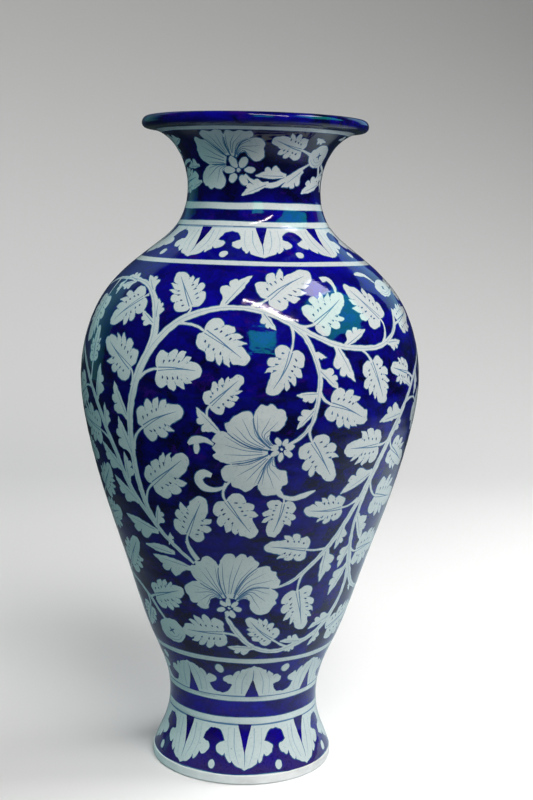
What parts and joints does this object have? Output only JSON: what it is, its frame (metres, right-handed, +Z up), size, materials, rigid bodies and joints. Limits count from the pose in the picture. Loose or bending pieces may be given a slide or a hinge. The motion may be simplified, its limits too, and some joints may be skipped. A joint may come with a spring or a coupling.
{
  "type": "vase",
  "caption": "Tall baluster vase with a pedestal foot, a high round shoulder, a narrow neck and a flared lip, painted with a cobalt ground and white scrolling vines.",
  "frame": {"origin": "centre of the foot ring's underside", "axes": "+Z up the vase's axis, from the foot to the mouth; the vase turns about +Z, so X and Y are free"},
  "size_m": [0.208, 0.208, 0.4],
  "materials": {
    "clay": "matt off-white fired clay",
    "luting": "matt fired slip",
    "white_slip": "matt white slip under the glaze",
    "painted_glaze": "gloss clear glaze over cobalt painting",
    "inner_glaze": "gloss clear glaze, pale blue-white"
  },
  "bodies": {
    "root": {"pedestal_foot": "clay", "lower_body": "clay", "shoulder": "clay", "neck": "clay", "foot_luting": "luting", "belly_luting": "luting", "neck_luting": "luting", "slip_coat": "white_slip", "outer_glaze": "painted_glaze", "inner_glaze": "inner_glaze"}
  },
  "joints": []
}
